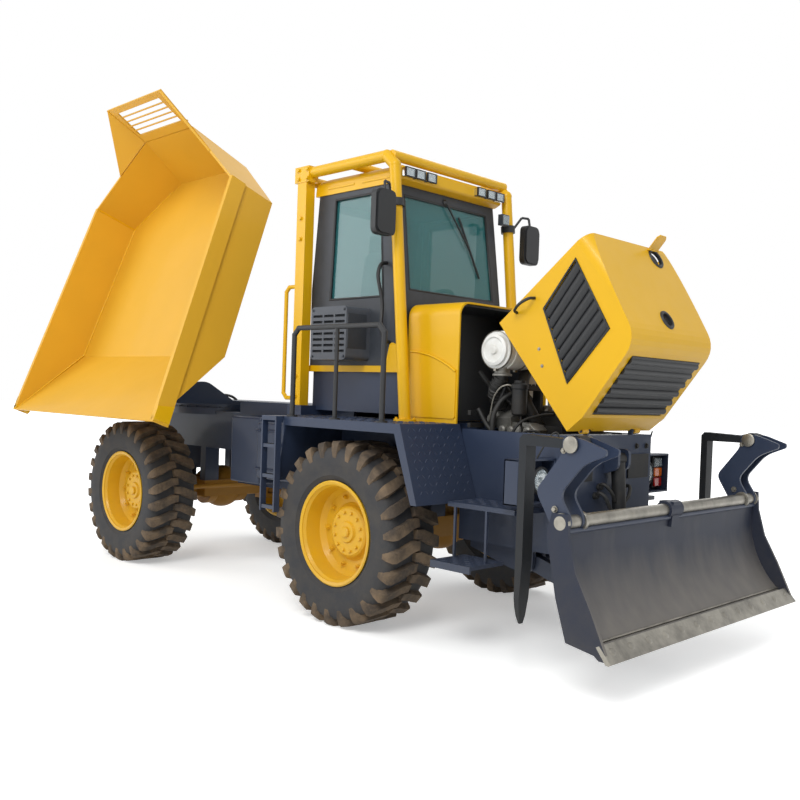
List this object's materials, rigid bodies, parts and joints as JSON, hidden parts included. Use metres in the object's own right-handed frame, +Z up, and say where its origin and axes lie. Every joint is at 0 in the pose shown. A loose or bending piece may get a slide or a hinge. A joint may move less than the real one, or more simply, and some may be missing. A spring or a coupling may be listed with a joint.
{
  "type": "swivel-skip site dumper",
  "caption": "Four-wheel site dumper with a swivelling tipping skip, glazed cab with roll frame, tilting engine bonnet, dozer blade and flip-over forks.",
  "frame": {"origin": "on the ground, on the machine's centre plane, midway between the axles", "axes": "+X towards the blade and engine end, +Y away from the skip's lip as it stands, +Z up"},
  "size_m": [6.086, 2.5207, 3.8854],
  "materials": {
    "yellow": "gloss",
    "navy": "satin",
    "tyre": "matte",
    "glass": "gloss",
    "dark_plastic": "matte",
    "lamp": "gloss",
    "steel": "worn",
    "cast": "satin",
    "pale": "satin"
  },
  "bodies": {
    "chassis": {"main_frame": "navy", "engine_box": "navy", "fender_near": "navy", "fender_far": "navy", "ladders": "pale", "steps": "navy", "axle_skip": "yellow", "axle_engine": "yellow", "cab_base": "navy", "cab_shell": "dark_plastic", "cab_sill": "yellow", "cab_roof": "yellow", "cab_glass": "glass", "seat": "dark_plastic", "console": "dark_plastic", "rops": "yellow", "guard_rail": "dark_plastic", "grab_rails": "yellow", "climate_box": "dark_plastic", "mirrors": "dark_plastic", "roof_lamps": "lamp", "road_lamps": "lamp", "cowl": "yellow", "engine": "cast", "air_cleaner": "pale", "radiator": "cast", "tow_eyes": "navy"},
    "turntable": {"turntable": "navy"},
    "skip": {"skip": "yellow", "visor": "yellow", "skip_under": "yellow"},
    "tip_barrel": {"tip_barrel": "cast"},
    "tip_rod": {"tip_rod": "steel"},
    "knuckle_near": {"knuckle_near": "yellow"},
    "knuckle_far": {"knuckle_far": "yellow"},
    "tie_rod": {"tie_rod": "yellow"},
    "wheel_sn": {"tyre_sn": "tyre", "rim_sn": "yellow"},
    "wheel_sf": {"tyre_sf": "tyre", "rim_sf": "yellow"},
    "wheel_en": {"tyre_en": "tyre", "rim_en": "yellow"},
    "wheel_ef": {"tyre_ef": "tyre", "rim_ef": "yellow"},
    "bonnet": {"bonnet": "yellow", "bonnet_grilles": "dark_plastic"},
    "door": {"door": "dark_plastic", "door_glass": "glass"},
    "blade": {"blade": "navy", "cutting_edge": "steel", "blade_arms": "navy", "cross_shaft": "steel", "push_frame": "navy"},
    "lift_barrel": {"lift_barrel": "cast"},
    "lift_rod": {"lift_rod": "steel"},
    "fork_near": {"fork_near": "navy"},
    "fork_far": {"fork_far": "navy"}
  },
  "joints": [
    {"name": "slew", "type": "hinge", "parent": "chassis", "child": "turntable", "pos_m": [-1.37, 0, 1.34], "axis": [0, 0, -1], "range_deg": [0, 180]},
    {"name": "tip", "type": "hinge", "parent": "turntable", "child": "skip", "pos_m": [-1.37, -0.75, 1.435], "axis": [1, 0, 0], "range_deg": [-70.16, 0]},
    {"name": "tip_barrel_swing", "type": "hinge", "parent": "turntable", "child": "tip_barrel", "pos_m": [-1.37, -0.46, 1.46], "axis": [1, 0, 0], "range_deg": [-85.63, 1]},
    {"name": "tip_rod_slide", "type": "slide", "parent": "tip_barrel", "child": "tip_rod", "axis": [0, 0.0498, 0.9988], "range_m": [-0.2204, 0.004]},
    {"name": "steer_near", "type": "hinge", "parent": "chassis", "child": "knuckle_near", "pos_m": [-1.37, -0.56, 0.592], "axis": [0, 0, 1], "range_deg": [-25, 25]},
    {"name": "steer_far", "type": "hinge", "parent": "chassis", "child": "knuckle_far", "pos_m": [-1.37, 0.56, 0.592], "axis": [0, 0, 1], "range_deg": [-25, 25]},
    {"name": "tie_rod_swing", "type": "hinge", "parent": "knuckle_near", "child": "tie_rod", "pos_m": [-1.07, -0.555, 0.592], "axis": [0, 0, 1], "range_deg": [-25, 25]},
    {"name": "roll_sn", "type": "hinge", "parent": "knuckle_near", "child": "wheel_sn", "pos_m": [-1.37, -0.817, 0.592], "axis": [0, 1, 0], "continuous": true},
    {"name": "roll_sf", "type": "hinge", "parent": "knuckle_far", "child": "wheel_sf", "pos_m": [-1.37, 0.817, 0.592], "axis": [0, 1, 0], "continuous": true},
    {"name": "roll_en", "type": "hinge", "parent": "chassis", "child": "wheel_en", "pos_m": [1.37, -0.817, 0.592], "axis": [0, 1, 0], "continuous": true},
    {"name": "roll_ef", "type": "hinge", "parent": "chassis", "child": "wheel_ef", "pos_m": [1.37, 0.817, 0.592], "axis": [0, 1, 0], "continuous": true},
    {"name": "bonnet_tilt", "type": "hinge", "parent": "chassis", "child": "bonnet", "pos_m": [2.755, 0, 1.316], "axis": [0, 1, 0], "range_deg": [-50.5, 0]},
    {"name": "door_swing", "type": "hinge", "parent": "chassis", "child": "door", "pos_m": [0.64, 0.536, 1.69], "axis": [0, 0, 1], "range_deg": [0, 90]},
    {"name": "blade_lift", "type": "hinge", "parent": "chassis", "child": "blade", "pos_m": [2.4, 0, 0.5], "axis": [0, -1, 0], "range_deg": [-12, 20]},
    {"name": "lift_barrel_swing", "type": "hinge", "parent": "chassis", "child": "lift_barrel", "pos_m": [2.815, 0, 1.15], "axis": [0, -1, 0], "range_deg": [-4, 4]},
    {"name": "lift_rod_slide", "type": "slide", "parent": "lift_barrel", "child": "lift_rod", "axis": [0.0691, 0, -0.9976], "range_m": [-0.1706, 0.1069]},
    {"name": "fork_near_flip", "type": "hinge", "parent": "blade", "child": "fork_near", "pos_m": [3.205, -0.999, 1.277], "axis": [0, 1, 0], "range_deg": [0, 270]},
    {"name": "fork_far_flip", "type": "hinge", "parent": "blade", "child": "fork_far", "pos_m": [3.205, 0.999, 1.277], "axis": [0, 1, 0], "range_deg": [0, 270]}
  ],
  "couplings": [
    {"joint": "tip_barrel_swing", "follows": "tip", "ratio": 1.2062},
    {"joint": "tip_rod_slide", "follows": "tip", "m_per_rad": 0.17668},
    {"joint": "steer_far", "follows": "steer_near", "ratio": 1},
    {"joint": "tie_rod_swing", "follows": "steer_near", "ratio": -1},
    {"joint": "lift_barrel_swing", "follows": "blade_lift", "ratio": -0.02116},
    {"joint": "lift_rod_slide", "follows": "blade_lift", "m_per_rad": -0.45386}
  ]
}
